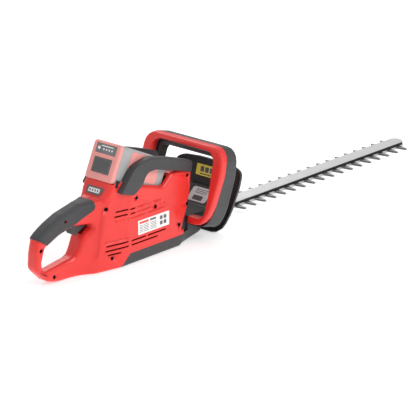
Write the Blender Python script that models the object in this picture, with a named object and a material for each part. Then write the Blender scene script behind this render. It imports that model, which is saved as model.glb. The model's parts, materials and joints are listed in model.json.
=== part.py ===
"""Cordless hedge trimmer, modelled as it comes apart on a bench.

Frame: +X points along the blade, +Y to the operator's left, +Z up. The origin is on the surface
that the trimmer stands on, below the middle of its bounding box. Dimensions are in millimetres
and are scaled to metres when an object is made.
"""
from math import cos, pi, radians, sin, tan

import bmesh
import bpy
from mathutils import Matrix, Vector

MM = 0.001

# Driving dimensions
GAP = 0.3                 # clearance between touching pieces
WALL = 2.6                # moulded casing wall
BLADE_TIP_X = 598.0       # front end of the guide bar
TOOTH_PITCH = 32.5
TOOTH_COUNT = 18
FIRST_TOOTH_X = 18.2      # first tooth on the right side
TOOTH_STAGGER = 7.0       # the left side's teeth sit this much further forward
TOOTH_REACH = 38.45       # tooth tip from the centre line
BAR_HALF_WIDTH = 17.0
LOWER_BLADE_Z = 23.5
UPPER_BLADE_Z = 26.6
BLADE_THICKNESS = 2.8
BAR_Z = 29.7
BAR_TOP_Z = 37.2
STROKE = 8.0              # each blade moves this far either side of its middle
GEAR_X = -190.0           # drive gear axis
MOTOR_X = -226.0          # motor and pinion axis
PINION_TEETH = 9
GEAR_TEETH = 41
GEAR_MODULE = 1.44
CAM_RADIUS = 15.0
AXLE_RADIUS = 4.0
HANDLE_HALF_WIDTH = 14.5
BODY_HALF_WIDTH = 50.0
EDGE_RADIUS = 8.0
GRIP_PROUD = 2.1          # overmould stands this far off the casing, gap included
BASE_TOP = 25.0           # parting line between the casing and the base
HANDLE_LEAN = 0.26        # front handle and guard: forward travel for each unit of height
BATTERY_PITCH = radians(25)
BATTERY_X = -382.0        # lower rear edge of the battery
BATTERY_Z = 178.5
BATTERY_LENGTH = 146.0
BATTERY_HALF_WIDTH = 37.5
BATTERY_HEIGHT = 79.0
TRIGGER_PIVOT = (-402.0, 0.0, 105.0)
DATUM = Vector((15.0, 0.0, 0.0))     # middle of the bounding box in the layout below

for old in list(bpy.data.objects):
    bpy.data.objects.remove(old, do_unlink=True)


def material(name, colour, roughness, metallic=0.0):
    """Principled material with a base colour, roughness and metallic value."""
    made = bpy.data.materials.new(name)
    made.use_nodes = True
    shader = made.node_tree.nodes["Principled BSDF"]
    shader.inputs["Base Color"].default_value = (*colour, 1.0)
    shader.inputs["Roughness"].default_value = roughness
    shader.inputs["Metallic"].default_value = metallic
    made.diffuse_color = (*colour, 1.0)
    return made


RED = material("red_plastic", (0.80, 0.02, 0.02), 0.35)
DARK = material("dark_grey_plastic", (0.06, 0.06, 0.065), 0.55)
RUBBER = material("grip_rubber", (0.045, 0.045, 0.048), 0.75)
BLACK = material("black_plastic", (0.02, 0.02, 0.022), 0.5)
SALMON = material("battery_cover_plastic", (0.86, 0.38, 0.36), 0.45)
BATTERY_GREY = material("battery_case_plastic", (0.42, 0.43, 0.44), 0.5)
PANEL_GREY = material("panel_plastic", (0.30, 0.31, 0.32), 0.4)
WHITE = material("label_white", (0.85, 0.85, 0.85), 0.4)
YELLOW = material("label_yellow", (0.85, 0.72, 0.12), 0.4)
SILVER = material("label_silver", (0.62, 0.63, 0.64), 0.4)
ALUMINIUM = material("bar_aluminium", (0.80, 0.81, 0.82), 0.3, 1.0)
STEEL = material("blade_steel", (0.52, 0.53, 0.55), 0.3, 1.0)
DARK_STEEL = material("black_steel", (0.08, 0.08, 0.085), 0.4, 1.0)
BRASS = material("sintered_gear", (0.45, 0.38, 0.25), 0.45, 1.0)
BOARD_GREEN = material("circuit_board", (0.03, 0.18, 0.07), 0.5)


# Outlines and shapes

def rounded(corners, step=22):
    """Outline through corners (u, v, radius); every corner with a radius becomes an arc."""
    points = []
    for index, (u, v, radius) in enumerate(corners):
        here = Vector((u, v))
        before = Vector(corners[index - 1][:2]) - here
        after = Vector(corners[(index + 1) % len(corners)][:2]) - here
        half = before.angle(after) / 2
        if radius <= 0 or half > radians(89):
            points.append(here)
            continue
        reach = min(radius / tan(half), 0.48 * before.length, 0.48 * after.length)
        radius = reach * tan(half)
        start = here + before.normalized() * reach
        inward = (before.normalized() + after.normalized()).normalized()
        middle = here + inward * (radius / sin(half))
        turn = pi - 2 * half
        side = before.x * after.y - before.y * after.x
        steps = max(1, round(turn / radians(step)))
        for k in range(steps + 1):
            angle = turn * k / steps * (-1 if side > 0 else 1)
            points.append(middle + Matrix.Rotation(angle, 2) @ (start - middle))
    return [point for k, point in enumerate(points) if (point - points[k - 1]).length > 0.9]


def mirrored_outline(right_side):
    """Close an outline given for v downwards on the right (negative u) by mirroring it in u."""
    return right_side + [(-u, v, radius) for u, v, radius in reversed(right_side)]


def circle(radius, centre=(0, 0), sides=24):
    return [Vector((centre[0] + radius * cos(2 * pi * k / sides),
                    centre[1] + radius * sin(2 * pi * k / sides))) for k in range(sides)]


def flat_face(bm, outline, holes=()):
    """Fill an outline with holes in the XY plane."""
    edges = []
    for loop in [outline, *holes]:
        verts = [bm.verts.new((p[0], p[1], 0)) for p in loop]
        edges += [bm.edges.new((verts[k - 1], verts[k])) for k in range(len(verts))]
    bmesh.ops.triangle_fill(bm, use_beauty=True, use_dissolve=False, edges=edges, normal=(0, 0, 1))
    for face in bm.faces:
        if face.normal.z < 0:
            face.normal_flip()


def rim_of(bm):
    return [edge for edge in bm.edges if edge.is_boundary]


def slab(outline, low, high, holes=()):
    """Closed plate between two heights."""
    bm = bmesh.new()
    flat_face(bm, outline, holes)
    bmesh.ops.translate(bm, vec=(0, 0, low), verts=bm.verts)
    made = bmesh.ops.extrude_face_region(bm, geom=bm.faces[:])
    tops = [item for item in made["geom"] if isinstance(item, bmesh.types.BMVert)]
    bmesh.ops.translate(bm, vec=(0, 0, high - low), verts=tops)
    bmesh.ops.recalc_face_normals(bm, faces=bm.faces)
    return bm


def turned_way(loop, left):
    """The loop's points in the order that keeps the material on its left (or on its right)."""
    area = sum(loop[k - 1].x * loop[k].y - loop[k].x * loop[k - 1].y for k in range(len(loop)))
    return list(loop) if (area > 0) == left else list(reversed(loop))


def offset_loop(loop, distance):
    """Move a closed loop towards its left by a distance."""
    moved = []
    for k, here in enumerate(loop):
        before = (here - loop[k - 1]).normalized()
        after = (loop[(k + 1) % len(loop)] - here).normalized()
        normal = Vector((-before.y - after.y, before.x + after.x))
        moved.append(here + normal * distance / (1 + before.dot(after)))
    return moved


def moulding(outline, depth, radius, holes=(), cuts=(), rings=3, wall=None, base=0.0):
    """Moulded half-shell over a flat outline.

    depth is a number or a function of (u, v). The rim is rounded with the radius, and cuts are
    lines (point, normal) that split the face so that it can follow the depth. With a wall the
    result is a shell open at the base, and without one it is solid.
    """
    depth_at = depth if callable(depth) else (lambda u, v: depth)
    bm = bmesh.new()
    inset = bm.verts.layers.float.new("inset")
    innermost = []
    for loop in [turned_way(outline, True)] + [turned_way(hole, False) for hole in holes]:
        rows = []
        for ring in range(rings + 1):
            distance = radius * (1 - cos(pi / 2 * ring / rings))
            row = [bm.verts.new((p.x, p.y, 0)) for p in offset_loop(loop, distance)]
            for vert in row:
                vert[inset] = distance
            rows.append(row)
        for outer, inner in zip(rows, rows[1:]):
            for k in range(len(loop)):
                bm.faces.new((outer[k - 1], outer[k], inner[k], inner[k - 1]))
        innermost += [bm.edges.get((rows[-1][k - 1], rows[-1][k])) for k in range(len(loop))]
    bmesh.ops.triangle_fill(bm, use_beauty=True, use_dissolve=False, edges=innermost,
                            normal=(0, 0, 1))
    for point, normal in cuts:
        everything = bm.verts[:] + bm.edges[:] + bm.faces[:]
        bmesh.ops.bisect_plane(bm, geom=everything, plane_co=point, plane_no=normal, dist=0.01)
    for vert in bm.verts:
        drop = radius - (radius ** 2 - (radius - min(vert[inset], radius)) ** 2) ** 0.5
        vert.co.z = depth_at(vert.co.x, vert.co.y) - drop
    made = bmesh.ops.extrude_edge_only(bm, edges=rim_of(bm))
    for item in made["geom"]:
        if isinstance(item, bmesh.types.BMVert):
            item.co.z = base
    bmesh.ops.triangle_fill(bm, use_beauty=True, use_dissolve=False, edges=rim_of(bm))
    bmesh.ops.recalc_face_normals(bm, faces=bm.faces)
    if wall:
        inner_outline = offset_loop(turned_way(outline, True), wall)
        inner_holes = [offset_loop(turned_way(hole, False), wall) for hole in holes]
        inner = moulding(inner_outline, lambda u, v: depth_at(u, v) - wall, radius - wall,
                         inner_holes, cuts, 1, base=base - 1)
        bm = combine(bm, inner, "DIFFERENCE")
    return bm


def block(low, high, bevel=0.0, segments=2):
    """Box between two corners, with its edges rounded if a bevel is given."""
    bm = bmesh.new()
    bmesh.ops.create_cube(bm, size=1.0)
    size = Vector(high) - Vector(low)
    bmesh.ops.scale(bm, vec=size, verts=bm.verts)
    bmesh.ops.translate(bm, vec=(Vector(high) + Vector(low)) / 2, verts=bm.verts)
    if bevel:
        bmesh.ops.bevel(bm, geom=bm.edges[:], offset=bevel, segments=segments, profile=0.5,
                        affect="EDGES")
    return bm


def turned(profile, centre=(0, 0, 0), sides=20):
    """Solid turned about Z from a profile of (radius, height), bottom to top."""
    bm = bmesh.new()
    outline = [Vector((r, 0, z)) for r, z in profile]
    if profile[0][0] > 0 and profile[-1][0] > 0:
        outline.append(outline[0])
    verts = [bm.verts.new(p) for p in outline]
    edges = [bm.edges.new((verts[k], verts[k + 1])) for k in range(len(verts) - 1)]
    bmesh.ops.spin(bm, geom=verts + edges, cent=(0, 0, 0), axis=(0, 0, 1), angle=2 * pi,
                   steps=sides, use_merge=True)
    bmesh.ops.remove_doubles(bm, verts=bm.verts, dist=0.001)
    bmesh.ops.translate(bm, vec=centre, verts=bm.verts)
    bmesh.ops.recalc_face_normals(bm, faces=bm.faces)
    return bm


def placed(bm, matrix):
    bmesh.ops.transform(bm, matrix=matrix, verts=bm.verts)
    if matrix.determinant() < 0:
        bmesh.ops.reverse_faces(bm, faces=bm.faces)
    return bm


def axes(u, v, w, origin=(0, 0, 0)):
    """Matrix that sends local X, Y, Z to the given directions."""
    return Matrix.Translation(origin) @ Matrix((u, v, w)).transposed().to_4x4()


SIDE_RIGHT = axes((1, 0, 0), (0, 0, 1), (0, -1, 0))       # outline in (x, z), depth towards -Y
MIRROR_Y = Matrix.Scale(-1, 4, (0, 1, 0))


def along_y(bm):
    """Turn a slab drawn in (x, z) so that its heights run along +Y."""
    return placed(bm, Matrix(((1, 0, 0, 0), (0, 0, 1, 0), (0, 1, 0, 0), (0, 0, 0, 1))))


def rod(radius, y_low, y_high, x, z, sides=16):
    return along_y(slab(circle(radius, (x, z), sides), y_low, y_high))


def combine(first, second, operation):
    """Boolean of two meshes."""
    pair = []
    for bm in (first, second):
        bmesh.ops.triangulate(bm, faces=bm.faces[:])
        mesh = bpy.data.meshes.new("work")
        bm.to_mesh(mesh)
        bm.free()
        pair.append(bpy.data.objects.new("work", mesh))
        bpy.context.scene.collection.objects.link(pair[-1])
    boolean = pair[0].modifiers.new("Boolean", "BOOLEAN")
    boolean.operation = operation
    boolean.object = pair[1]
    result = bmesh.new()
    result.from_object(pair[0], bpy.context.evaluated_depsgraph_get())
    bmesh.ops.remove_doubles(result, verts=result.verts, dist=0.004)
    bmesh.ops.triangulate(result, faces=result.faces[:])
    for obj in pair:
        mesh = obj.data
        bpy.data.objects.remove(obj)
        bpy.data.meshes.remove(mesh)
    return result


def cut(bm, *tools):
    for tool in tools:
        bm = combine(bm, tool, "DIFFERENCE")
    return bm


def join(bm, *tools):
    for tool in tools:
        bm = combine(bm, tool, "UNION")
    return bm


def together(*parts):
    """One mesh holding several separate closed shapes, to cut with in one go."""
    bm = bmesh.new()
    for part in parts:
        mesh = bpy.data.meshes.new("work")
        part.to_mesh(mesh)
        part.free()
        bm.from_mesh(mesh)
        bpy.data.meshes.remove(mesh)
    return bm


def piece(name, bm, look, origin=(0, 0, 0), parent=None):
    """Finish a mesh as an object whose origin is at the given point."""
    bmesh.ops.translate(bm, vec=-Vector(origin), verts=bm.verts)
    bmesh.ops.dissolve_limit(bm, angle_limit=radians(1), use_dissolve_boundaries=False,
                             verts=bm.verts, edges=bm.edges)
    bmesh.ops.triangulate(bm, faces=bm.faces[:])
    bmesh.ops.scale(bm, vec=(MM, MM, MM), verts=bm.verts)
    mesh = bpy.data.meshes.new(name)
    bm.to_mesh(mesh)
    bm.free()
    mesh.shade_smooth()
    mesh.set_sharp_from_angle(angle=radians(32))
    mesh.materials.append(look)
    obj = bpy.data.objects.new(name, mesh)
    bpy.context.scene.collection.objects.link(obj)
    obj.location = (Vector(origin) - (DATUM if parent is None else Vector())) * MM
    obj.parent = parent
    return obj


def both_sides(names, make, look):
    """A right-hand piece and its mirror image on the left."""
    piece(names[0], make(), look)
    piece(names[1], placed(make(), MIRROR_Y), look)


# Casing outlines, in (x, z)

LEAN = 0.25               # the body's side lines lean forward by this much


def casing_corners(grow=0.0, in_base=True):
    """Side outline of the whole casing, base and bow included."""
    g = grow
    return [(-568.8 - g, 40, 18), (-537, 9 - g, 24), (-507, 0 - g, 60), (-96, 0 - g, 14),
            (-89 + g, 36 + g, 0), (-191 + g, 36 + g, 2), (-161 + g, 92, 60),
            (-157 + g, 164 + g, 10), (-219 - g, 164 + g, 8), (-243, 142 + g, 12),
            (-338, 169 + g, 8), (-347, 181 + g, 12),
            (-373 - g, 182 + g, 12), (-398 - g, 147 + g, 8), (-470, 144 + g, 150),
            (-532, 119 + g, 100), (-557 - g, 104, 16), (-565.2 - g, 78, 60)]


def finger_hole_corners(grow=0.0):
    """Outline of the opening in the rear handle."""
    g = grow
    return [(-546.5 + g, 28.5 + g, 14), (-460, 41 + g, 24), (-438 - g, 82, 40), (-407, 99 - g, 8),
            (-470, 104 - g, 30), (-500, 98.5 - g, 60), (-540 + g, 80, 14), (-549 + g, 52, 0)]


def half_width(x, z, grow=0.0):
    """Half the casing's width at a point of its side view."""
    along = x - LEAN * (z - 90)
    if along < -470:
        width = HANDLE_HALF_WIDTH
    elif along < -402:
        width = HANDLE_HALF_WIDTH + 23.5 * ((along + 470) / 68) ** 2.2
    elif along < -344:
        width = 38 + (BODY_HALF_WIDTH - 38) * (along + 402) / 58
    elif along < -172:
        width = BODY_HALF_WIDTH
    else:
        width = max(21.0, BODY_HALF_WIDTH - 29 * min(1.0, (along + 172) / 95) ** 0.75)
    return width + grow


def casing(grow=0.0, wall=None, base=0.0):
    """The casing's right half, before the openings are cut."""
    stations = [-470, -450, -436, -424, -413, -402, -373, -344, -172, -160, -145, -128, -110]
    cuts = [((s - LEAN * 90, 0, 0), (1, -LEAN, 0)) for s in stations]
    return placed(moulding(rounded(casing_corners(grow)), lambda u, v: half_width(u, v, grow),
                           EDGE_RADIUS + grow, holes=[rounded(finger_hole_corners(grow))],
                           cuts=cuts, wall=wall, base=base), SIDE_RIGHT)


def base_region(shrink):
    """Prism under the parting line of casing and base."""
    outline = [(-376 + shrink, -6), (-341.5 + shrink, BASE_TOP - shrink / 2),
               (-60, BASE_TOP - shrink / 2), (-60, -6)]
    return along_y(slab(outline, -60, 60))


BATTERY_FRAME = (Matrix.Translation((BATTERY_X, 0, BATTERY_Z))
                 @ Matrix.Rotation(BATTERY_PITCH, 4, "Y"))


def dock_space():
    """Room for the battery and its receiver, with a close-fitting mouth at the rear."""
    mouth = placed(block((-40, -38, -0.6), (20, 38, 130)), BATTERY_FRAME)
    return join(placed(block((12, -41.5, -5), (153, 41.5, 130)), BATTERY_FRAME), mouth)


SCREWS = [(-553, 78, 0.5), (-519, 15, 0.5), (-487, 121, 0.5), (-394, 128, 0.5), (-387, 25, 0.5),
          (-321, 137, 0.5), (-267, 105, 0.5), (-197, 47.6, 37), (-173, 88, 0.5), (-172, 148, 0.5)]
HEAD_RADIUS = 3.8
SHANK_RADIUS = 1.8


def vent_slots():
    """Open slits in the right side of the body."""
    rows = [(-378, -346, 108.5), (-374, -344, 118.2), (-340, -326, 107.6), (-340, -326, 117.2),
            (-403, -346, 42), (-400, -346, 51.5), (-398, -366, 33), (-338, -296, 50.4),
            (-291, -238, 50.0), (-338, -262, 41.5)]
    return together(*[along_y(slab(rounded([(a, z - 1.7, 0), (b, z - 1.7, 0),
                                            (b + 1, z + 1.7, 0), (a + 1, z + 1.7, 0)]), -60, -30))
                      for a, b, z in rows])


def head_holes():
    return together(*[rod(HEAD_RADIUS + 0.5, -60, -half_width(x, z) + 11, x, z, 10)
                      for x, z, inner in SCREWS])


def trigger_slot():
    return block((-474, -7.6, 80), (-396, 5, 112))


def housing():
    """Right half of the casing, as moulded."""
    shell = casing(wall=WALL, base=GAP / 2)
    bosses = together(*[rod(6.2, -half_width(x, z) + 1.2, -inner, x, z, 8)
                        for x, z, inner in SCREWS])
    bosses = combine(bosses, casing(grow=-1.0), "INTERSECT")
    shell = join(shell, bosses)
    shell = cut(shell, dock_space(), base_region(0.0),
                block((-189.2, -45, 24), (-60, 5, 39)),
                block((-250, -36.6, 20), (-150, 5, 50.6)),
                trigger_slot(), vent_slots())
    shanks = together(*[rod(SHANK_RADIUS + 0.4, -60, 5, x, z, 6) for x, z, inner in SCREWS])
    return cut(shell, head_holes(), shanks)


both_sides(["right_housing", "left_housing"], housing, RED)


def housing_screw(x, z, inner):
    """Screw along +Y, its head on the shoulder in the right half's boss."""
    shoulder = half_width(x, z) - 11 + GAP
    end = -9.0 if inner < 1 else inner - 7
    screw = turned([(0, end), (SHANK_RADIUS, end), (SHANK_RADIUS, shoulder),
                    (HEAD_RADIUS, shoulder), (HEAD_RADIUS, shoulder + 2.6), (0, shoulder + 2.6)],
                   sides=10)
    socket = slab(circle(1.7, sides=6), shoulder + 1.2, shoulder + 9)
    return placed(cut(screw, socket), axes((1, 0, 0), (0, 0, 1), (0, -1, 0), (x, 0, z)))


for number, place in enumerate(SCREWS, 1):
    piece(f"housing_screw_{number}", housing_screw(*place), DARK_STEEL)


# Grip overmould, one pad on each half of the rear handle

def grip_region():
    outline = rounded([(-580, 113.5, 0), (-525, 77.4, 0), (-476, 88, 0), (-466, 107, 10),
                       (-430, 123, 16), (-414, 131, 12), (-414, 170, 0), (-580, 170, 0)])
    return along_y(slab(outline, -40, -GAP / 2))


def grip_pad():
    outer = casing(grow=GRIP_PROUD)
    pad = combine(cut(outer, casing(grow=GAP)), grip_region(), "INTERSECT")
    return cut(pad, trigger_slot(), head_holes())


both_sides(["right_grip_pad", "left_grip_pad"], grip_pad, RUBBER)


# Bow-shaped bumpers beside the battery

def bumper():
    outline = rounded([(-371, 157.5, 4), (-334, 146, 8), (-310, 160, 20), (-296, 184, 18),
                       (-270, 185, 30), (-200, 165, 40), (-165, 154, 5), (-162, 178, 8),
                       (-186, 187, 20), (-240, 204, 60), (-285, 214, 30), (-330, 206, 40)])
    arch = moulding(outline, 17, 4, rings=2)
    arch = placed(arch, axes((1, 0, 0), (0, 0, 1), (0, -1, 0), (0, -40.4, 0)))
    return cut(arch, casing(grow=GAP))


both_sides(["right_bumper", "left_bumper"], bumper, DARK)


# Base, a tray that closes the casing from below

def base_skid():
    outer = join(casing(base=-1.0), placed(casing(), MIRROR_Y))
    tray = combine(outer, base_region(GAP), "INTERSECT")
    inside = rounded([(-364, 3.0, 3), (-99, 3.0, 6), (-93, 30, 0), (-336, 30, 0)])
    hollow = moulding(inside, lambda u, v: half_width(u, v) - 3.2, 5, rings=2,
                      cuts=[((s - LEAN * 80, 0, 0), (1, 0, 0)) for s in (-344, -172, -145, -120)],
                      base=-0.5)
    hollow = placed(hollow, SIDE_RIGHT)
    other = placed(hollow.copy(), MIRROR_Y)
    return cut(tray, hollow, other, block((-130, -16, 20), (-60, 16, 32)))


piece("base_skid", base_skid(), DARK)


# Trigger, its pin and spring, and the switch above it

def trigger():
    outline = rounded([(-397.5, 109.5, 4), (-397.5, 99.5, 4), (-428, 94, 20), (-442, 88, 10),
                       (-451, 81, 3), (-464, 88.5, 4), (-464, 107, 3), (-440, 105.5, 8)])
    pin_hole = circle(2.4, (TRIGGER_PIVOT[0], TRIGGER_PIVOT[2]), 12)
    return along_y(slab(outline, -6.8, 6.8, [pin_hole]))


def coil(radius, wire, turns, y_low, x, z):
    """Torsion spring about Y with a straight leg at each end."""
    steps = 10
    rise = 2.5 * wire
    points = [Vector((x + radius * cos(2 * pi * k / steps), y_low + rise * k / steps,
                      z + radius * sin(2 * pi * k / steps))) for k in range(turns * steps + 6)]
    points = [points[0] + Vector((0, 0, -6))] + points + [points[-1] + Vector((0, 0, 6))]
    bm = bmesh.new()
    rings = []
    for k, point in enumerate(points):
        ahead = points[min(k + 1, len(points) - 1)] - points[max(k - 1, 0)]
        side = ahead.cross(Vector((0, 1, 0))).normalized() * wire
        up = side.cross(ahead.normalized())
        rings.append([bm.verts.new(point + side * cos(pi * j / 3) + up * sin(pi * j / 3))
                      for j in range(6)])
    for first, second in zip(rings, rings[1:]):
        for j in range(6):
            bm.faces.new((first[j], first[j - 1], second[j - 1], second[j]))
    bm.faces.new(rings[0])
    bm.faces.new(list(reversed(rings[-1])))
    bmesh.ops.recalc_face_normals(bm, faces=bm.faces)
    return bm


piece("trigger", trigger(), DARK, TRIGGER_PIVOT)
piece("trigger_pin", rod(2.0, -13, 13, TRIGGER_PIVOT[0], TRIGGER_PIVOT[2], 12), STEEL)
piece("trigger_spring", coil(3.6, 0.5, 2, 8.6, TRIGGER_PIVOT[0], TRIGGER_PIVOT[2]), STEEL)
piece("trigger_switch", block((-446, -8, 112.6), (-424, 8, 127), 1.0, 1), BLACK)
piece("control_board", block((-345, -26, 72), (-285, 26, 73.6)), BOARD_GREEN)


# Gear case, motor and drive

GUARD_X = -44.0           # front face of the hand guard, at GUARD_Z
GUARD_Z = 128.0
GUARD_WALL = 2.6
GUARD_DEPTH = 10.0
CHANNEL_TOP = UPPER_BLADE_Z + BLADE_THICKNESS + 0.6
HUB_LOW = CHANNEL_TOP - 0.2


def guard_x(z):
    """Front face of the leaning hand guard."""
    return GUARD_X + HANDLE_LEAN * (z - GUARD_Z)


def gear_case():
    behind_guard = GUARD_WALL + 0.4
    side = rounded([(-163, BASE_TOP + GAP, 0), (guard_x(25) - behind_guard, BASE_TOP + GAP, 0),
                    (guard_x(86) - behind_guard, 86, 0), (-64, 88, 3), (-98, 56, 12),
                    (-163, 56, 8)])
    front = along_y(slab(side, -42, 42))
    rear = block((-246, -36, BASE_TOP + GAP), (-155, 36, 50))
    tools = [turned([(0, 20), (32.5, 20), (32.5, 44.5), (0, 44.5)], (GEAR_X, 0, 0), 32),
             turned([(0, 20), (9.8, 20), (9.8, 44.5), (4.6, 44.5), (4.6, 55), (0, 55)],
                    (MOTOR_X, 0, 0), 16),
             turned([(0, 40), (AXLE_RADIUS + GAP, 40), (AXLE_RADIUS + GAP, 55), (0, 55)],
                    (GEAR_X, 0, 0), 16),
             block((-238, -29.8, 20), (-143, 29.8, CHANNEL_TOP)),
             block((-150, -15, 20), (-50, 15, CHANNEL_TOP)),
             block((-111, -BAR_HALF_WIDTH - 0.6, 20), (-50, BAR_HALF_WIDTH + 0.6, BAR_TOP_Z + 0.4)),
             rod(SHANK_RADIUS + 0.35, -40, -28.6, SCREWS[7][0], SCREWS[7][1], 8)]
    return cut(join(front, rear), *tools)


def gear(teeth, bore, low, high, bore_sides=16):
    """Spur gear about Z with straight-sided teeth of reduced height."""
    pitch_radius = teeth * GEAR_MODULE / 2
    tip, root = pitch_radius + 0.6, pitch_radius - 1.1
    outline = []
    for k in range(teeth):
        middle = 2 * pi * k / teeth
        for radius, share in ((root, -0.30), (tip, -0.15), (tip, 0.15), (root, 0.30)):
            angle = middle + share * 2 * pi / teeth
            outline.append(Vector((radius * cos(angle), radius * sin(angle))))
    return slab(outline, low, high, [circle(bore, sides=bore_sides)])


def drive_gear():
    hub = turned([(AXLE_RADIUS + GAP, HUB_LOW), (8, HUB_LOW), (8, 35), (AXLE_RADIUS + GAP, 35)],
                 sides=16)
    disc = gear(GEAR_TEETH, AXLE_RADIUS + GAP, 34, 42)
    return placed(join(disc, hub), Matrix.Translation((GEAR_X, 0, 0)))


def eccentric(side, low):
    """Round cam whose centre is one stroke away from the axle."""
    disc = slab(circle(CAM_RADIUS, (0, side * STROKE), 28), low, low + BLADE_THICKNESS,
                [circle(AXLE_RADIUS + GAP, sides=16)])
    return placed(disc, Matrix.Translation((GEAR_X, 0, 0)))


def fan():
    outline = []
    for k in range(9):
        for radius, share in ((8, 0.0), (17, 0.08), (17, 0.55), (8, 0.7)):
            angle = 2 * pi * (k + share) / 9
            outline.append(Vector((radius * cos(angle), radius * sin(angle))))
    return placed(slab(outline, 100.8, 103.4, [circle(2.8, sides=12)]),
                  Matrix.Translation((MOTOR_X, 0, 0)))


piece("gear_case", gear_case(), DARK)
motor = (MOTOR_X, 0, 0)
axle = (GEAR_X, 0, 0)
piece("motor_end_plate", turned([(5.4, 50.4), (22, 50.4), (22, 56.6), (5.4, 56.6)], motor), STEEL)
piece("motor_bearing", turned([(2.8, 50.8), (5.1, 50.8), (5.1, 56), (2.8, 56)], motor, 16), STEEL)
piece("motor_can", turned([(20.4, 57), (22, 57), (22, 100), (5, 100), (5, 98.2), (20.4, 98.2)],
                          motor), DARK_STEEL)
piece("motor_shaft", turned([(0, 34), (2.5, 34), (2.5, 104), (0, 104)], motor, 12), STEEL, motor)
piece("motor_rotor", turned([(2.8, 60), (18.5, 60), (18.5, 93), (2.8, 93)], motor, 20), BRASS,
      motor)
piece("motor_pinion", placed(gear(PINION_TEETH, 2.8, 34.4, 43.6, 12), Matrix.Translation(motor)),
      STEEL, motor)
piece("cooling_fan", fan(), BLACK, motor)
piece("gear_axle", turned([(0, 3.5), (AXLE_RADIUS, 3.5), (AXLE_RADIUS, 49.6), (0, 49.6)], axle, 16),
      STEEL)
piece("drive_gear", drive_gear(), BRASS, axle)
piece("upper_eccentric", eccentric(1, UPPER_BLADE_Z), STEEL, axle)
piece("lower_eccentric", eccentric(-1, LOWER_BLADE_Z), STEEL, axle)


# Cutting blades, guide bar and the shoulder bolts that hold them together

TOOTH_ROOT = 18.0
STRAP_HALF_WIDTH = 14.0
STRAP_FRONT = -20.0
YOKE_RADIUS = CAM_RADIUS + STROKE + 0.8
YOKE_RIM = 5.0
BOLTS_X = [45 + 125 * k for k in range(5)]


def oval(half_length, half_breadth, steps, x=0.0, start=0.0, end=2 * pi):
    angles = [start + (end - start) * k / steps for k in range(steps + 1)]
    return [Vector((x + half_length * cos(a), half_breadth * sin(a))) for a in angles]


def tooth_row(side, shift):
    """Teeth along one edge, from the rear to the front."""
    points = [Vector((STRAP_FRONT, side * TOOTH_ROOT))]
    first = FIRST_TOOTH_X + shift + (TOOTH_STAGGER if side > 0 else 0.0)
    for k in range(TOOTH_COUNT):
        x = first + k * TOOTH_PITCH
        if x + 9 > BLADE_TIP_X - 8:
            break
        points += [Vector((x - 7, side * TOOTH_ROOT)), Vector((x - 2.6, side * TOOTH_REACH)),
                   Vector((x + 2.6, side * TOOTH_REACH)), Vector((x + 7, side * TOOTH_ROOT))]
    return points


def yoke(radius, opening, steps):
    """Slotted ring round the eccentric, drawn rearwards and back from its opening angle."""
    front, rear = GEAR_X + STROKE, GEAR_X - STROKE
    return (oval(radius, radius, steps, front, opening, pi / 2)
            + oval(radius, radius, 2 * steps, rear, pi / 2, 3 * pi / 2)
            + oval(radius, radius, steps, front, 3 * pi / 2, 2 * pi - opening))


def blade(low, shift):
    nose = oval(6, TOOTH_ROOT, 6, BLADE_TIP_X - 11, -pi / 2, pi / 2)
    outline = tooth_row(-1, shift) + nose + list(reversed(tooth_row(1, shift)))
    outline += [Vector((STRAP_FRONT - 6, STRAP_HALF_WIDTH))] + yoke(YOKE_RADIUS + YOKE_RIM, 0.5, 5)
    outline += [Vector((STRAP_FRONT - 6, -STRAP_HALF_WIDTH))]
    holes = [yoke(YOKE_RADIUS, 0.0, 6)[:-1]]
    for x in BOLTS_X:
        front = oval(3.5, 3.5, 3, x + STROKE + 0.6, -pi / 2, pi / 2)
        holes.append(front + oval(3.5, 3.5, 3, x - STROKE - 0.6, pi / 2, 3 * pi / 2))
    return slab(outline, low, low + BLADE_THICKNESS, holes)


def guide_bar():
    end = oval(BAR_HALF_WIDTH, BAR_HALF_WIDTH, 12, BLADE_TIP_X - BAR_HALF_WIDTH, -pi / 2, pi / 2)
    outline = [Vector((-108, -BAR_HALF_WIDTH))] + end + [Vector((-108, BAR_HALF_WIDTH))]
    holes = [turned([(0, BAR_Z - 1), (3.3, BAR_Z - 1), (3.3, BAR_Z + 4), (0, BAR_Z + 4)],
                    (x, 0, 0), 10) for x in BOLTS_X]
    return cut(slab(outline, BAR_Z, BAR_TOP_Z), together(*holes))


def blade_bolt(x):
    """Shoulder bolt up through both blades into the bar."""
    seat = LOWER_BLADE_Z - 0.4
    top = BAR_Z + 3.6
    return turned([(0, seat - 3.7), (6, seat - 3.7), (6, seat), (3, seat), (3, top), (0, top)],
                  (x, 0, 0), 12)


piece("upper_blade", blade(UPPER_BLADE_Z, -2.5), STEEL)
piece("lower_blade", blade(LOWER_BLADE_Z, 2.5), STEEL)
piece("guide_bar", guide_bar(), ALUMINIUM)
for number, x in enumerate(BOLTS_X, 1):
    piece(f"blade_bolt_{number}", blade_bolt(x), DARK_STEEL)


# Front handle, a ring in two half-shells, with its switch bow, and the hand guard

SEAM_X = -115.0           # parting line of the front handle, at SEAM_Z
SEAM_Z = 190.0
RING_EDGE = 5.0


def leaning(direction, x_at_floor):
    """Frame of the leaning handle: outline in (y, z), depth forward (+1) or rearward (-1)."""
    return axes((0, direction, 0), (HANDLE_LEAN, 0, 1), (direction, 0, 0), (x_at_floor, 0, 0))


def square_to_handle(x_at_floor):
    """The same frame with its depth square to the handle's plane, forward and down."""
    return axes((0, 1, 0), (HANDLE_LEAN, 0, 1), (1, 0, -HANDLE_LEAN), (x_at_floor, 0, 0))


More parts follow.
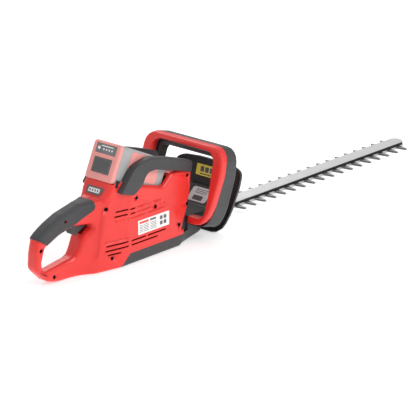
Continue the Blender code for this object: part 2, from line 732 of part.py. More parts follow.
def ring_outline(outer_low, inner_low, inner_top):
    """C-shaped outline whose two lower ends butt against the gear case."""
    outer = [(-42.6, outer_low, 3), (-84, outer_low, 36), (-101, 76, 60), (-112, 150, 60),
             (-107, 203, 46)]
    inner = [(-42.6, inner_low, 3), (-84, inner_low, 16), (-86, 100, 40), (-85, 150, 60),
             (-84, inner_top, 22)]
    left_outer = [(-u, v, r) for u, v, r in reversed(outer)]
    left_inner = [(-u, v, r) for u, v, r in inner]
    return rounded(outer + left_outer + left_inner + list(reversed(inner)))


def front_shell_depth(u, v):
    """Forward depth of the dark front shell, deeper towards the bottom."""
    return 44 - 13 * v / 206


SEAM_FLOOR_X = SEAM_X - HANDLE_LEAN * SEAM_Z
piece("front_handle_rear_shell",
      placed(moulding(ring_outline(43, 57.5, 192), 16, RING_EDGE, wall=2.4),
             leaning(-1, SEAM_FLOOR_X - GAP / 2)), RED)
piece("front_handle_front_shell",
      placed(moulding(ring_outline(36, 57.5, 190), front_shell_depth, RING_EDGE, wall=2.4),
             square_to_handle(SEAM_FLOOR_X + GAP / 2)), DARK)


def switch_bow():
    right = [(-83.3, 150, 3), (-82.5, 185, 24)]
    inside = [(-76, 150, 3), (-73, 178.5, 14)]
    outline = rounded(right + [(-u, v, r) for u, v, r in reversed(right)]
                      + [(-u, v, r) for u, v, r in inside] + list(reversed(inside)))
    return placed(moulding(outline, 24, 2, rings=2, base=3.0), square_to_handle(SEAM_FLOOR_X))


piece("switch_bow", switch_bow(), DARK, (SEAM_X + 11, 0, 180))


def hand_guard():
    outline = rounded(mirrored_outline([(-30, 143.5, 40), (-72, 140, 30), (-91, 131, 20),
                                        (-90, 100, 60), (-80, 48, 60), (-62, 0.8, 44)]))
    tray = moulding(outline, GUARD_DEPTH, 6, wall=GUARD_WALL)
    tray = placed(tray, leaning(1, guard_x(0) - GUARD_DEPTH))
    return cut(tray, block((-110, -BAR_HALF_WIDTH - 0.8, LOWER_BLADE_Z - 1),
                           (-40, BAR_HALF_WIDTH + 0.8, BAR_TOP_Z + 0.8)))


piece("hand_guard", hand_guard(), BLACK)


# Labels and the status panel, plain plates without lettering

def plate(width, height, thickness, corner=1.5):
    w, h = width / 2, height / 2
    return slab(rounded([(-w, -h, corner), (w, -h, corner), (w, h, corner), (-w, h, corner)], 45),
                0, thickness)


LABEL = 0.5
guard_back = leaning(-1, guard_x(0) - GUARD_WALL - GAP)
piece("guard_label", placed(plate(56, 23, LABEL), guard_back @ Matrix.Translation((-8, 115, 0))),
      YELLOW)
ramp = Vector((34, 0, 32)).normalized()
ramp_out = Vector((-32, 0, 34)).normalized()
ramp_middle = Vector((-81, 0, 72)) + ramp_out * GAP
piece("ramp_label", placed(plate(50, 34, LABEL, 5), axes((0, -1, 0), ramp, ramp_out, ramp_middle)),
      SILVER)
on_side = SIDE_RIGHT @ Matrix.Translation((-273.5, 72.5, BODY_HALF_WIDTH + GAP))
piece("rating_label", placed(plate(91, 30, LABEL), on_side), WHITE)
panel_up = Vector((25, 0, 35)).normalized()
panel_out = Vector((-35, 0, 25)).normalized()
status = slab(rounded([(-18.5, -8, 2), (18.5, -8, 2), (23.5, 8, 2), (-23.5, 8, 2)], 45), 0, 1.4)
panel_middle = Vector((-389.7, 0, 158.6)) + panel_out * GAP
piece("status_panel", placed(status, axes((0, -1, 0), panel_up, panel_out, panel_middle)),
      PANEL_GREY)


# Battery, in a frame that lies along its rails: X into the dock, Z out of its top

battery_frame = bpy.data.objects.new("battery_frame", None)
bpy.context.scene.collection.objects.link(battery_frame)
battery_frame.matrix_world = Matrix.LocRotScale((Vector((BATTERY_X, 0, BATTERY_Z)) - DATUM) * MM,
                                                BATTERY_FRAME.to_3x3(), None)
ALONG = axes((0, 1, 0), (0, 0, 1), (1, 0, 0))             # section in (y, z), height along +X
REARWARD = axes((0, -1, 0), (0, 0, 1), (-1, 0, 0))        # the same, height along -X
COVER_DEPTH = 9.0
PANEL_Z = 63.5
LATCH_Z = 30.0
BUTTON_Y = 19.0


def section(inset, radius):
    w, top = BATTERY_HALF_WIDTH - inset, BATTERY_HEIGHT - inset
    return rounded([(-w, inset, radius), (w, inset, radius), (w, top, radius), (-w, top, radius)], 30)


def side_inset(shrink, low, high):
    """D-shaped inlay of the battery's right side, between two distances from the middle."""
    s = shrink
    outline = rounded([(34 + s, 22 + s, 8), (128 - s, 22 + s, 8), (128 - s, 60 - s, 20),
                       (82, 75 - s, 40), (36 + s, 75 - s, 10)], 30)
    return placed(slab(outline, low, high), SIDE_RIGHT)


def battery_case():
    shell = placed(slab(section(0, 7), COVER_DEPTH + GAP, BATTERY_LENGTH), ALONG)
    room = placed(slab(section(2.5, 5), COVER_DEPTH - 2, BATTERY_LENGTH - 2.5), ALONG)
    recess = side_inset(0, BATTERY_HALF_WIDTH - 1.4, BATTERY_HALF_WIDTH + 2)
    return cut(shell, room, recess.copy(), placed(recess, MIRROR_Y))


def battery_cover():
    cap = placed(moulding(section(0, 7), COVER_DEPTH, 4), REARWARD)
    cap = placed(cap, Matrix.Translation((COVER_DEPTH, 0, 0)))
    return cut(cap, block((-2, -27.4, PANEL_Z - 9.8), (1.8, 27.4, PANEL_Z + 9.8)),
               block((-2, -23.8, LATCH_Z - 15.3), (6.2, 23.8, LATCH_Z + 15.3)),
               placed(slab(circle(3.7, (BUTTON_Y, PANEL_Z), 14), -2, 4.5), ALONG))


def battery_panel():
    outline = rounded([(-27, PANEL_Z - 9.4, 2), (27, PANEL_Z - 9.4, 2), (27, PANEL_Z + 9.4, 2),
                       (-27, PANEL_Z + 9.4, 2)], 45)
    return placed(slab(outline, 0.3, 1.5, [circle(3.7, (BUTTON_Y, PANEL_Z), 14)]), ALONG)


def receiver():
    floor = block((12.5, -41.2, -4.7), (152.5, 41.2, -0.5))
    front = block((149.5, -41.2, -4.7), (152.5, 41.2, 40))
    right = block((12.5, -41.2, -4.7), (152.5, -38.2, 10))
    left = block((12.5, 38.2, -4.7), (152.5, 41.2, 10))
    return join(floor, front, right, left)


def battery_piece(name, bm, look, origin=(0, 0, 0)):
    piece(name, bm, look, origin, battery_frame)


battery_piece("battery_case", battery_case(), BATTERY_GREY)
battery_piece("battery_cover", battery_cover(), SALMON)
battery_piece("battery_panel", battery_panel(), PANEL_GREY)
battery_piece("battery_right_inlay", side_inset(GAP, BATTERY_HALF_WIDTH - 1.1, BATTERY_HALF_WIDTH),
              SALMON)
battery_piece("battery_left_inlay", placed(side_inset(GAP, BATTERY_HALF_WIDTH - 1.1,
                                                      BATTERY_HALF_WIDTH), MIRROR_Y), SALMON)
battery_piece("cell_pack", block((16, -33, 6), (138, 33, 73), 3, 1), BLACK)
battery_piece("battery_latch", block((-1.5, -23.4, LATCH_Z - 14.9), (1.6, 23.4, LATCH_Z + 14.9),
                                     1.0, 1), PANEL_GREY)
battery_piece("charge_button", placed(slab(circle(3.3, (BUTTON_Y, PANEL_Z), 14), -0.4, 2.6), ALONG),
              WHITE, (0, BUTTON_Y, PANEL_Z))
battery_piece("battery_receiver", receiver(), BLACK)
battery_piece("terminal_block", block((146.5, -20, 8), (149.2, 20, 30)), BRASS)
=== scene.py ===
import json
from math import radians

import bmesh
import bpy
from mathutils import Matrix, Vector


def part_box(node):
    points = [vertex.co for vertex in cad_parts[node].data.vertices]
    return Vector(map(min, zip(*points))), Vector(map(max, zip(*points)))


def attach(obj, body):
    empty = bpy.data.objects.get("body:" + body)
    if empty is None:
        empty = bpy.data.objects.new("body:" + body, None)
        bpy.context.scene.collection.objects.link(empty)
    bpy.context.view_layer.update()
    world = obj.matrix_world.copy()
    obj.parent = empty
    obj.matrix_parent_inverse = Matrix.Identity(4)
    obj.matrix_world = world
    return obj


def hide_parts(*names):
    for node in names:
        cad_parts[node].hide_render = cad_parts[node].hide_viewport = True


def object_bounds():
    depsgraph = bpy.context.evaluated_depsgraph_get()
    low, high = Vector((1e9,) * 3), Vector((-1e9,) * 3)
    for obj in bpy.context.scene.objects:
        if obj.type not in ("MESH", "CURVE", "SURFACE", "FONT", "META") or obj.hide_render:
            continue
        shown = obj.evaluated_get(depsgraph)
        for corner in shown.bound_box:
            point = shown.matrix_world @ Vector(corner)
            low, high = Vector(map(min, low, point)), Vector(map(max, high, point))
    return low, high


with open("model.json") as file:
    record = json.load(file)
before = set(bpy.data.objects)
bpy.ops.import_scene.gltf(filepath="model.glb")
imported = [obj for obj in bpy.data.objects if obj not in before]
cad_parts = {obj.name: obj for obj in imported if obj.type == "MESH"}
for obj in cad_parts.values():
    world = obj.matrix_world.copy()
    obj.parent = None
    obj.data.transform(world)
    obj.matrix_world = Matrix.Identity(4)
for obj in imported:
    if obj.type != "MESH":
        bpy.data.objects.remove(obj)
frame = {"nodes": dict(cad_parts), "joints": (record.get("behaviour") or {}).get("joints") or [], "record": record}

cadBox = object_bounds()
mm = 0.001
nodes = frame["nodes"]
bodyOf = {name: body for body, names in frame["record"]["behaviour"]["bodies"].items()
          for name in names}
slotOf = {part["node"]: part["material_slot"] for part in frame["record"]["subparts"]}
print("frame loaded,", len(nodes), "nodes")


# materials

def startMaterial(name, colour, roughness, metallic=0.0):
    material = bpy.data.materials.new(name)
    material.use_nodes = True
    shader = material.node_tree.nodes["Principled BSDF"]
    shader.inputs["Base Color"].default_value = (*colour, 1)
    shader.inputs["Roughness"].default_value = roughness
    shader.inputs["Metallic"].default_value = metallic
    material.diffuse_color = (*colour, 1)
    return material, material.node_tree.nodes, material.node_tree.links, shader


def objectNoise(tree, links, scale, detail=2.0, stretch=(1, 1, 1), distortion=0.0):
    coords = tree.new("ShaderNodeTexCoord")
    mapping = tree.new("ShaderNodeMapping")
    mapping.inputs["Scale"].default_value = stretch
    noise = tree.new("ShaderNodeTexNoise")
    noise.inputs["Scale"].default_value = scale
    noise.inputs["Detail"].default_value = detail
    noise.inputs["Distortion"].default_value = distortion
    links.new(coords.outputs["Object"], mapping.inputs["Vector"])
    links.new(mapping.outputs["Vector"], noise.inputs["Vector"])
    return noise


def spread(tree, links, source, low, high):
    # the middle part of a noise, stretched from low to high
    remap = tree.new("ShaderNodeMapRange")
    remap.inputs["From Min"].default_value = 0.3
    remap.inputs["From Max"].default_value = 0.7
    remap.inputs["To Min"].default_value = low
    remap.inputs["To Max"].default_value = high
    links.new(source, remap.inputs["Value"])
    return remap.outputs["Result"]


def tint(tree, links, source, colour, change):
    # the colour, a little darker and a little lighter by turns
    ramp = tree.new("ShaderNodeValToRGB")
    ramp.color_ramp.elements[0].position = 0.32
    ramp.color_ramp.elements[1].position = 0.68
    ramp.color_ramp.elements[0].color = (*[c * (1 - change) for c in colour], 1)
    ramp.color_ramp.elements[1].color = (*[min(1, c * (1 + change)) for c in colour], 1)
    links.new(source, ramp.inputs["Fac"])
    return ramp.outputs["Color"]


def bump(tree, links, source, shader, depth, strength=1.0):
    bumpNode = tree.new("ShaderNodeBump")
    bumpNode.inputs["Strength"].default_value = strength
    bumpNode.inputs["Distance"].default_value = depth
    links.new(source, bumpNode.inputs["Height"])
    links.new(bumpNode.outputs["Normal"], shader.inputs["Normal"])


plastic = {"flowScale": 22, "rubScale": 90, "rubStretch": (1, 0.4, 1), "rubDistortion": 0.6,
           "smoother": 0.06, "rougher": 0.07, "coatRoughness": 0.3}


def mouldedPlastic(name, colour, roughness, grain=1800, depth=0.00002, change=0.05, coat=0.0):
    material, tree, links, shader = startMaterial(name, colour, roughness)
    shader.inputs["Coat Weight"].default_value = coat
    shader.inputs["Coat Roughness"].default_value = plastic["coatRoughness"]
    flow = objectNoise(tree, links, plastic["flowScale"], 3.0)
    links.new(tint(tree, links, flow.outputs["Fac"], colour, change), shader.inputs["Base Color"])
    rubs = objectNoise(tree, links, plastic["rubScale"], 5.0, plastic["rubStretch"],
                       plastic["rubDistortion"])
    links.new(spread(tree, links, rubs.outputs["Fac"], roughness - plastic["smoother"],
                     roughness + plastic["rougher"]), shader.inputs["Roughness"])
    texture = objectNoise(tree, links, grain, 2.0)
    bump(tree, links, texture.outputs["Fac"], shader, depth)
    return material


rubber = {"roughness": 0.62, "wornScale": 30, "wornTint": 0.18, "polished": 0.5, "dull": 0.7,
          "sheen": 0.15, "pebbleScale": 900, "pebbleDepth": 0.00008}


def gripRubber(name, colour):
    material, tree, links, shader = startMaterial(name, colour, rubber["roughness"])
    shader.inputs["Sheen Weight"].default_value = rubber["sheen"]
    shader.inputs["Sheen Roughness"].default_value = 0.5
    worn = objectNoise(tree, links, rubber["wornScale"], 4.0)
    links.new(tint(tree, links, worn.outputs["Fac"], colour, rubber["wornTint"]),
              shader.inputs["Base Color"])
    links.new(spread(tree, links, worn.outputs["Fac"], rubber["polished"], rubber["dull"]),
              shader.inputs["Roughness"])
    coords = tree.new("ShaderNodeTexCoord")
    pebbles = tree.new("ShaderNodeTexVoronoi")
    pebbles.feature = "SMOOTH_F1"
    pebbles.inputs["Scale"].default_value = rubber["pebbleScale"]
    links.new(coords.outputs["Object"], pebbles.inputs["Vector"])
    bump(tree, links, pebbles.outputs["Distance"], shader, rubber["pebbleDepth"], 0.8)
    return material


def brushedMetal(name, colour, roughness, stretch, scale=60, depth=0.000012, change=0.06):
    # the strokes run along the axis with the smallest number in stretch
    material, tree, links, shader = startMaterial(name, colour, roughness, 1.0)
    strokes = objectNoise(tree, links, scale, 4.0, stretch)
    links.new(tint(tree, links, strokes.outputs["Fac"], colour, change),
              shader.inputs["Base Color"])
    links.new(spread(tree, links, strokes.outputs["Fac"], roughness - 0.08, roughness + 0.1),
              shader.inputs["Roughness"])
    bump(tree, links, strokes.outputs["Fac"], shader, depth)
    return material


finishes = {
    "red_shell": mouldedPlastic("redShell", (0.78, 0.028, 0.022), 0.36, coat=0.15),
    "dark_shell": mouldedPlastic("darkShell", (0.042, 0.043, 0.045), 0.5, 1500, 0.00003, 0.1),
    "black_plastic": mouldedPlastic("blackPlastic", (0.02, 0.02, 0.022), 0.45, 1500, 0.00003, 0.1),
    "grip_rubber": gripRubber("gripRubber", (0.036, 0.037, 0.04)),
    "battery_grey": mouldedPlastic("batteryGrey", (0.38, 0.38, 0.38), 0.42, 1600, 0.00003, 0.06),
    "battery_red": mouldedPlastic("batteryRed", (0.84, 0.33, 0.30), 0.42, coat=0.1),
    "panel_grey": mouldedPlastic("panelGrey", (0.11, 0.11, 0.115), 0.4, 1500, 0.00003, 0.08),
    "white_plastic": mouldedPlastic("whiteFoil", (0.82, 0.82, 0.81), 0.3, 900, 0.000008, 0.02),
    "label_yellow": mouldedPlastic("yellowFoil", (0.98, 0.80, 0.10), 0.32, 900, 0.000008, 0.03),
    "label_silver": mouldedPlastic("silverFoil", (0.74, 0.74, 0.75), 0.34, 900, 0.000008, 0.04),
    "bar_aluminium": brushedMetal("barAluminium", (0.93, 0.93, 0.93), 0.36, (0.5, 30, 30)),
    "blade_steel": brushedMetal("bladeSteel", (0.56, 0.56, 0.57), 0.32, (20, 1.5, 20), 70),
    "machine_steel": brushedMetal("machineSteel", (0.6, 0.6, 0.61), 0.3, (1, 1, 12)),
    "dark_steel": brushedMetal("darkSteel", (0.045, 0.045, 0.048), 0.45, (3, 3, 3), 200),
    "brass": brushedMetal("brass", (0.72, 0.52, 0.22), 0.3, (4, 4, 12)),
    "board_green": mouldedPlastic("boardGreen", (0.03, 0.17, 0.07), 0.3, 1200, 0.00002, 0.12),
}
paleGrey = mouldedPlastic("paleGrey", (0.17, 0.17, 0.175), 0.4, 1500, 0.00003, 0.08)
for name, node in nodes.items():
    node.data.materials.clear()
    node.data.materials.append(paleGrey if name == "battery_panel" else finishes[slotOf[name]])
print("materials made")


# refined copies of the moulded and ground pieces

def mergedCopy(name):
    # a CAD node's mesh with its loose triangles joined into whole faces
    bm = bmesh.new()
    bm.from_mesh(nodes[name].data)
    bmesh.ops.remove_doubles(bm, verts=bm.verts, dist=0.000002)
    bmesh.ops.dissolve_limit(bm, angle_limit=radians(1), use_dissolve_boundaries=False,
                             verts=bm.verts, edges=bm.edges)
    return bm


def bevelEdges(bm, edges, width, segments):
    bmesh.ops.bevel(bm, geom=edges, offset=width, offset_type="OFFSET", affect="EDGES",
                    segments=segments, profile=0.5, clamp_overlap=True, material=-1)


rounding = {"sharperThan": 35, "segments": 2}


def roundEdges(bm, width):
    sharp = [edge for edge in bm.edges if len(edge.link_faces) == 2
             and edge.calc_face_angle(0) > radians(rounding["sharperThan"])]
    bevelEdges(bm, sharp, width, rounding["segments"])


def finishPiece(name, bm, slot, body, replaced=(), smoothAngle=40):
    mesh = bpy.data.meshes.new(name)
    bmesh.ops.triangulate(bm, faces=[face for face in bm.faces if len(face.verts) > 4])
    bm.to_mesh(mesh)
    bm.free()
    mesh.shade_smooth()
    mesh.set_sharp_from_angle(angle=radians(smoothAngle))
    mesh.materials.append(finishes[slot])
    piece = bpy.data.objects.new(name, mesh)
    bpy.context.scene.collection.objects.link(piece)
    piece.modifiers.new("flatFaces", "WEIGHTED_NORMAL").keep_sharp = True
    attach(piece, body)
    if replaced:
        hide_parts(*replaced)
    return piece


def finishCopy(name, bm, smoothAngle=40):
    return finishPiece(name + ".fine", bm, slotOf[name], bodyOf[name], [name], smoothAngle)


def carve(bm, tool):
    # the first shape without the second; both are used up
    pair = []
    for shape in (bm, tool):
        mesh = bpy.data.meshes.new("carving")
        shape.to_mesh(mesh)
        shape.free()
        pair.append(bpy.data.objects.new("carving", mesh))
        bpy.context.scene.collection.objects.link(pair[-1])
    boolean = pair[0].modifiers.new("carve", "BOOLEAN")
    boolean.operation = "DIFFERENCE"
    boolean.object = pair[1]
    result = bmesh.new()
    result.from_object(pair[0], bpy.context.evaluated_depsgraph_get())
    bmesh.ops.remove_doubles(result, verts=result.verts, dist=0.000004)
    for used in pair:
        mesh = used.data
        bpy.data.objects.remove(used)
        bpy.data.meshes.remove(mesh)
    return result


# relief of the casing's sides: grooves, a raised upper part and a recess at the front

# stations along the side and half widths there, in mm
casingSide = {"lean": 0.25, "middleZ": 90, "handle": -485, "rear": -417, "shoulder": -359,
              "front": -187, "handleWidth": 14.5, "rearWidth": 38, "width": 50,
              "rearCurve": 2.2, "noseLength": 95, "noseDrop": 29, "noseCurve": 0.75}


def sideWidth(x, z):
    # half the casing's width in mm on its straight sides, as in the CAD
    s = casingSide
    along = x - s["lean"] * (z - s["middleZ"])
    if along < s["rear"]:
        share = max(0, (along - s["handle"]) / (s["rear"] - s["handle"])) ** s["rearCurve"]
        return s["handleWidth"] + (s["rearWidth"] - s["handleWidth"]) * share
    if along < s["shoulder"]:
        share = (along - s["rear"]) / (s["shoulder"] - s["rear"])
        return s["rearWidth"] + (s["width"] - s["rearWidth"]) * share
    if along < s["front"]:
        return s["width"]
    share = min(1.0, (along - s["front"]) / s["noseLength"])
    return s["width"] - s["noseDrop"] * share ** s["noseCurve"]


def sideCutter(outline, depths, proud=4.0):
    # closed cutter over a side outline (x, z), with a depth below the surface at each corner
    bm = bmesh.new()
    corners = [bm.verts.new((x, -(sideWidth(x, z) - depth), z))
               for (x, z), depth in zip(outline, depths)]
    face = bm.faces.new(corners)
    made = bmesh.ops.extrude_face_region(bm, geom=[face], use_keep_orig=True)["geom"]
    for item in made:
        if isinstance(item, bmesh.types.BMVert):
            item.co.y = -(sideWidth(item.co.x, item.co.z) + proud)
    bmesh.ops.triangulate(bm, faces=bm.faces[:])
    bmesh.ops.recalc_face_normals(bm, faces=bm.faces)
    bmesh.ops.scale(bm, vec=(mm, mm, mm), verts=bm.verts)
    return bm


def divided(line, step=9.0):
    # the line through (x, z) points with more points along it
    points = []
    for start, end in zip(line, line[1:]):
        start, end = Vector(start), Vector(end)
        count = max(1, round((end - start).length / step))
        points += [start.lerp(end, k / count) for k in range(count)]
    return points + [Vector(line[-1])]


# blind grooves between the open slits, as (rear x, front x, z) in mm
grooves = [(-337, -311, 118), (-306, -265, 118), (-337, -295, 108), (-270, -255, 108),
           (-393, -359, 98.5), (-355, -311, 98.5), (-306, -250, 98.5), (-419, -360, 60)]
crease = [(-432, 146), (-408, 150), (-376, 148), (-351, 143), (-320, 129), (-290, 118),
          (-250, 104), (-232, 95), (-194, 82)]
sideCorner = [(-411, 134), (-417, 122), (-423, 95), (-429, 62), (-433, 36)]
recess = [(-219, 80), (-199, 79), (-203, 52), (-221, 49)]
# depths in mm; a crease or corner is deepest on its line and runs out over its fade
relief = {"groove": 1.7, "grooveHalfHeight": 1.7, "grooveSlant": 1, "crease": 1.8,
          "creaseFade": 10.0, "corner": 1.8, "cornerFade": 26.0, "runOut": -0.25, "recess": 1.5}


def fadingOutline(line, depth, shift):
    # outline from a line of full depth to the same line shifted back, where it runs out
    faded = [point - Vector(shift) for point in reversed(line)]
    return line + faded, [depth] * len(line) + [relief["runOut"]] * len(faded)


def reliefOutlines():
    half, slant = relief["grooveHalfHeight"], relief["grooveSlant"]
    for rear, front, z in grooves:
        outline = divided([(rear, z - half), (front, z - half)])
        outline += divided([(front + slant, z + half), (rear + slant, z + half)])
        yield outline, [relief["groove"]] * len(outline)
    yield fadingOutline(divided(crease), relief["crease"], (0, relief["creaseFade"]))
    yield fadingOutline(divided(sideCorner, 6.0), relief["corner"], (relief["cornerFade"], 0))
    outline = divided(recess + recess[:1])[:-1]
    yield outline, [relief["recess"]] * len(outline)


for side, name in ((1, "right_housing"), (-1, "left_housing")):
    shell = mergedCopy(name)
    for outline, depths in reliefOutlines():
        cutter = sideCutter(outline, depths)
        if side < 0:
            bmesh.ops.scale(cutter, vec=(1, -1, 1), verts=cutter.verts)
            bmesh.ops.reverse_faces(cutter, faces=cutter.faces)
        shell = carve(shell, cutter)
    finishCopy(name, shell, 34)
print("casing relief carved")


# dark tubes in the screw wells: painted shade on the wells' walls, which are in shadow

wellShade = {"radius": 0.00415, "wall": 0.0003, "belowSurface": 0.0012, "clearOfScrew": 0.0003,
         "shallowest": 0.0018, "sides": 20}
wellShadeMesh = bmesh.new()
for number in range(1, 11):
    low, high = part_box(f"housing_screw_{number}")
    x, z = (low.x + high.x) / 2, (low.z + high.z) / 2
    mouth = wellShade["belowSurface"] - sideWidth(x / mm, z / mm) * mm
    if low.y - mouth < wellShade["shallowest"]:
        continue
    bottom = low.y - wellShade["clearOfScrew"]
    place = Matrix.Translation((x, bottom, z)) @ Matrix.Rotation(radians(90), 4, "X")
    rims = []
    for radius in (wellShade["radius"], wellShade["radius"] - wellShade["wall"]):
        rims += bmesh.ops.create_circle(wellShadeMesh, segments=wellShade["sides"], radius=radius,
                                        matrix=place)["verts"]
    edges = list({edge for vert in rims for edge in vert.link_edges})
    band = bmesh.ops.bridge_loops(wellShadeMesh, edges=edges)["faces"]
    drawn = bmesh.ops.extrude_face_region(wellShadeMesh, geom=band, use_keep_orig=True)["geom"]
    raised = [item for item in drawn if isinstance(item, bmesh.types.BMVert)]
    bmesh.ops.translate(wellShadeMesh, vec=(0, mouth - bottom, 0), verts=raised)
bmesh.ops.recalc_face_normals(wellShadeMesh, faces=wellShadeMesh.faces)
finishPiece("screwWellShade", wellShadeMesh, "black_plastic", "root")
print("screw wells lined")


# size of the rounding on each piece's edges, in metres
edgeRounding = {
    "trigger": 0.0015,
    "gear_case": 0.0012,
    "base_skid": 0.0006,
    "battery_latch": 0.0004,
    "battery_case": 0.0006,
    "battery_cover": 0.0005,
}
for name, width in edgeRounding.items():
    rounded = mergedCopy(name)
    roundEdges(rounded, width)
    finishCopy(name, rounded)
print("edges rounded")


# bar and blades: bright ground faces, with painted shade on their steep flanks

cutting = {"rimWidth": 0.003, "rimSegments": 4, "bladeEdge": 0.0004, "toothRoot": 0.0187}


def finishCutting(name, bm, paintedShadeFinish, paintedShadeFrom=0.0):
    # steep faces further than the given distance from the centre line take the second, darker finish: painted
    # shade on the flanks
    bm.normal_update()
    for face in bm.faces:
        steep = abs(face.normal.z) < 0.5 and abs(face.calc_center_median().y) > paintedShadeFrom
        face.material_index = 1 if steep else 0
    finishCopy(name, bm).data.materials.append(paintedShadeFinish)


# painted shade: a near-black finish for the bar's steep sides, which are in shadow
barFlankPaintedShade = brushedMetal("barFlankPaintedShade", (0.035, 0.035, 0.037), 0.5, (0.5, 30, 30))
# painted shade: a darker steel for the teeth's steep flanks, which are in shadow
toothFlankPaintedShade = brushedMetal("toothFlankPaintedShade", (0.16, 0.16, 0.165), 0.42, (20, 1.5, 20), 70)
bar = mergedCopy("guide_bar")
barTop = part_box("guide_bar")[1].z
topRim = [edge for edge in bar.edges if len(edge.link_faces) == 2
          and all(vert.co.z > barTop - 0.0001 for vert in edge.verts)
          and edge.calc_face_angle(0) > radians(60)]
bevelEdges(bar, topRim, cutting["rimWidth"], cutting["rimSegments"])
finishCutting("guide_bar", bar, barFlankPaintedShade)
for name in ("upper_blade", "lower_blade"):
    blade = mergedCopy(name)
    roundEdges(blade, cutting["bladeEdge"])
    finishCutting(name, blade, toothFlankPaintedShade, cutting["toothRoot"])
print("bar and blades finished")


# raised print, ribs and lamps, drawn as small plates on a face

def centreOf(name):
    low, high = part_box(name)
    return (low + high) / 2


def faceMatrix(across, up, out, place):
    return Matrix.Translation(place) @ Matrix((across, up, out)).transposed().to_4x4()


def slopeFace(name, run, rise, lift):
    # a sloping face that looks to the rear, this far above the middle of the named node
    up = Vector((run, 0, rise)).normalized()
    out = Vector((-up.z, 0, up.x))
    return faceMatrix((0, -1, 0), up, out, centreOf(name) + out * lift)


def raisePlate(bm, face, matrix, thickness):
    if face.normal.z > 0:
        face.normal_flip()
    top = bmesh.ops.extrude_face_region(bm, geom=[face], use_keep_orig=True)["geom"]
    raised = [item for item in top if isinstance(item, bmesh.types.BMVert)]
    bmesh.ops.translate(bm, vec=(0, 0, thickness), verts=raised)
    whole = set(raised) | set(face.verts)
    bmesh.ops.transform(bm, matrix=matrix, verts=list(whole))
    bmesh.ops.recalc_face_normals(bm, faces=list({f for v in whole for f in v.link_faces}))


def addPlate(bm, matrix, place, size, thickness, corner=0.0):
    made = bmesh.ops.create_grid(bm, x_segments=1, y_segments=1, size=0.5)["verts"]
    bmesh.ops.scale(bm, vec=(*size, 1), verts=made)
    bmesh.ops.translate(bm, vec=(*place, 0), verts=made)
    if corner:
        rounded = bmesh.ops.bevel(bm, geom=made, offset=corner, affect="VERTICES", segments=3,
                                  profile=0.5, clamp_overlap=True, material=-1)
        made = rounded["verts"]
    raisePlate(bm, made[0].link_faces[0], matrix, thickness)


def addDisc(bm, matrix, place, radius, thickness):
    made = bmesh.ops.create_circle(bm, cap_ends=True, segments=20, radius=radius)["verts"]
    bmesh.ops.translate(bm, vec=(*place, 0), verts=made)
    raisePlate(bm, made[0].link_faces[0], matrix, thickness)


printHeight = 0.00006  # thickness of print on a label

# places and sizes on a label are (across, up) from its middle, in metres
rating = {"heading": ((-0.028, 0.0095), (0.026, 0.0045)),
          "title": ((-0.002, 0.0095), (0.017, 0.0042)),
          "lines": 5, "firstLine": 0.0035, "lineStep": 0.0034, "lineHeight": 0.0011,
          "columns": ((-0.041, 0.009), (-0.030, 0.016), (-0.010, 0.018)),  # left end, length
          "signs": (0.022, 0.006), "signStep": 0.011, "signSize": 0.008, "signCorner": 0.0012}
low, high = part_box("rating_label")
middle = centreOf("rating_label")
ratingFace = faceMatrix((1, 0, 0), (0, 0, 1), (0, -1, 0), Vector((middle.x, low.y, middle.z)))
bm = bmesh.new()
addPlate(bm, ratingFace, *rating["heading"], printHeight)
finishPiece("ratingHeading", bm, "red_shell", "root")
bm = bmesh.new()
addPlate(bm, ratingFace, *rating["title"], printHeight)
for line in range(rating["lines"]):
    height = rating["firstLine"] - rating["lineStep"] * line
    for start, length in rating["columns"]:
        addPlate(bm, ratingFace, (start + length / 2, height), (length, rating["lineHeight"]),
                 printHeight)
for column in range(2):
    for row in range(2):
        place = (rating["signs"][0] + rating["signStep"] * column,
                 rating["signs"][1] - rating["signStep"] * row)
        addPlate(bm, ratingFace, place, (rating["signSize"], rating["signSize"]), printHeight,
                 rating["signCorner"])
finishPiece("ratingPrint", bm, "panel_grey", "root")

# the guard's label leans with the guard; here places are measured from its lower edge
guard = {"labelThickness": 0.0005, "signs": 4, "firstSign": -0.0195, "signStep": 0.013,
         "signHeight": 0.0135, "signSize": (0.010, 0.011), "corner": 0.001,
         "line": ((0, 0.004), (0.048, 0.0022))}
low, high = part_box("guard_label")
lean = Vector((high.x - low.x - guard["labelThickness"], 0, high.z - low.z))
guardFace = faceMatrix((0, -1, 0), lean / lean.z, (-1, 0, 0), Vector((low.x, 0, low.z)))
bm = bmesh.new()
for k in range(guard["signs"]):
    place = (guard["firstSign"] + guard["signStep"] * k, guard["signHeight"])
    addPlate(bm, guardFace, place, guard["signSize"], printHeight, guard["corner"])
addPlate(bm, guardFace, *guard["line"], printHeight)
finishPiece("guardPrint", bm, "panel_grey", "root")

ramp = {"run": 34, "rise": 32, "lift": 0.00025, "block": ((0, -0.008), (0.026, 0.011)),
        "corner": 0.002, "lines": 3, "firstLine": (0.002, 0.012), "lineStep": 0.004,
        "lineSize": (0.032, 0.0014)}
rampFace = slopeFace("ramp_label", ramp["run"], ramp["rise"], ramp["lift"])
bm = bmesh.new()
addPlate(bm, rampFace, *ramp["block"], printHeight, ramp["corner"])
for line in range(ramp["lines"]):
    place = (ramp["firstLine"][0], ramp["firstLine"][1] - ramp["lineStep"] * line)
    addPlate(bm, rampFace, place, ramp["lineSize"], printHeight)
finishPiece("rampPrint", bm, "panel_grey", "root")

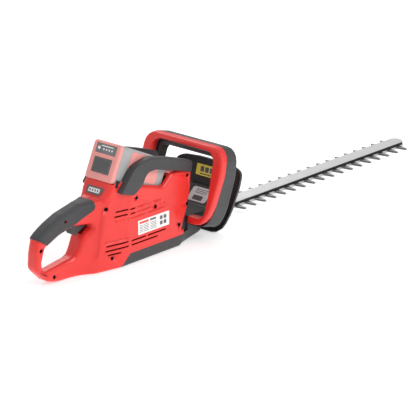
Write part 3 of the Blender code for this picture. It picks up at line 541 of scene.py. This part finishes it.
status = {"run": 25, "rise": 35, "lift": 0.0007, "window": (0.030, 0.009), "thickness": 0.0004,
          "corner": 0.001, "lamps": 4, "firstLamp": -0.0105, "lampStep": 0.007,
          "lampSize": (0.0032, 0.0045), "lampThickness": 0.0002, "lampCorner": 0.0006}
statusFace = slopeFace("status_panel", status["run"], status["rise"], status["lift"])
bm = bmesh.new()
addPlate(bm, statusFace, (0, 0), status["window"], status["thickness"], status["corner"])
finishPiece("statusWindow", bm, "white_plastic", "root")
bm = bmesh.new()
statusTop = statusFace @ Matrix.Translation((0, 0, status["thickness"]))
for k in range(status["lamps"]):
    addPlate(bm, statusTop, (status["firstLamp"] + status["lampStep"] * k, 0), status["lampSize"],
             status["lampThickness"], status["lampCorner"])
finishPiece("statusLamps", bm, "panel_grey", "root")

# the battery's rear face looks along the way that it slides out
charge = {"lift": 0.0006, "lamps": 4, "firstLamp": (-0.006, -0.001), "lampStep": 0.0075,
          "lampRadius": 0.0019, "lampThickness": 0.0004, "line": ((0.002, 0.0055), (0.032, 0.0018)),
          "lineThickness": 0.0001}
latch = {"lift": 0.00155, "ribs": 5, "lowest": -0.010, "step": 0.005, "ribSize": (0.038, 0.0018),
         "ribThickness": 0.0012, "rounding": 0.0004}
slideOut = Vector(next(j for j in frame["joints"] if j["name"] == "battery_slide")["axis"])
panelFace = slopeFace("battery_panel", slideOut.z, -slideOut.x, charge["lift"])
bm = bmesh.new()
for k in range(charge["lamps"]):
    place = (charge["firstLamp"][0] + charge["lampStep"] * k, charge["firstLamp"][1])
    addDisc(bm, panelFace, place, charge["lampRadius"], charge["lampThickness"])
addPlate(bm, panelFace, *charge["line"], charge["lineThickness"])
finishPiece("chargeLamps", bm, "white_plastic", "battery")
latchFace = slopeFace("battery_latch", slideOut.z, -slideOut.x, latch["lift"])
bm = bmesh.new()
for k in range(latch["ribs"]):
    addPlate(bm, latchFace, (0, latch["lowest"] + latch["step"] * k), latch["ribSize"],
             latch["ribThickness"])
roundEdges(bm, latch["rounding"])
finishPiece("latchRibs", bm, "panel_grey", "battery_latch")
print("print, lamps and ribs made")


# floor, light and camera

ground = {"halfSize": 12, "belowObject": 0.0002, "colour": (0.95, 0.95, 0.95), "glow": 0.4}
bm = bmesh.new()
bmesh.ops.create_grid(bm, x_segments=1, y_segments=1, size=ground["halfSize"])
floorMesh = bpy.data.meshes.new("floor")
bm.to_mesh(floorMesh)
bm.free()
floor = bpy.data.objects.new("floor", floorMesh)
floor.location.z = cadBox[0][2] - ground["belowObject"]
bpy.context.scene.collection.objects.link(floor)
floorPaint, tree, links, shader = startMaterial("paleFloor", ground["colour"], 0.8)
shader.inputs["Emission Color"].default_value = (1, 1, 1, 1)
shader.inputs["Emission Strength"].default_value = ground["glow"]
floorMesh.materials.append(floorPaint)

studio = {  # power in watts, lengths in metres
    "world": 0.6,
    "key": {"power": 36, "size": 1.4, "place": (0.1, -2.4, 1.7), "target": (-0.25, 0, 0.1)},
    "fill": {"power": 4, "size": 2.0, "place": (-2.2, 0.8, 1.4), "target": (-0.2, 0, 0.1)},
    "rim": {"power": 12, "size": 1.4, "place": (0.8, 1.6, 1.8), "target": (0, 0, 0.1)},
}
world = bpy.data.worlds.new("studio")
world.use_nodes = True
world.node_tree.nodes["Background"].inputs["Color"].default_value = (1, 1, 1, 1)
world.node_tree.nodes["Background"].inputs["Strength"].default_value = studio["world"]
bpy.context.scene.world = world


def softLight(name, power, size, place, target):
    data = bpy.data.lights.new(name, "AREA")
    data.shape = "DISK"
    data.energy = power
    data.size = size
    light = bpy.data.objects.new(name, data)
    light.location = place
    light.rotation_euler = (Vector(target) - Vector(place)).to_track_quat("-Z", "Y").to_euler()
    bpy.context.scene.collection.objects.link(light)


for name in ("key", "fill", "rim"):
    softLight(name, **studio[name])

view = {"lens": 211.4, "place": (-3.656944, -3.240345, 1.702093), "pitch": 70.985,
        "turn": -47.911}
cameraData = bpy.data.cameras.new("camera")
cameraData.lens = view["lens"]
cameraData.sensor_width = 36
cameraData.dof.use_dof = False
cameraData.clip_end = 100
camera = bpy.data.objects.new("camera", cameraData)
camera.location = view["place"]
camera.rotation_euler = (radians(view["pitch"]), 0, radians(view["turn"]))
bpy.context.scene.collection.objects.link(camera)
bpy.context.scene.camera = camera
bpy.context.scene.view_settings.view_transform = "Standard"
print("floor, light and camera set")

bpy.context.view_layer.update()
print("scene ready")
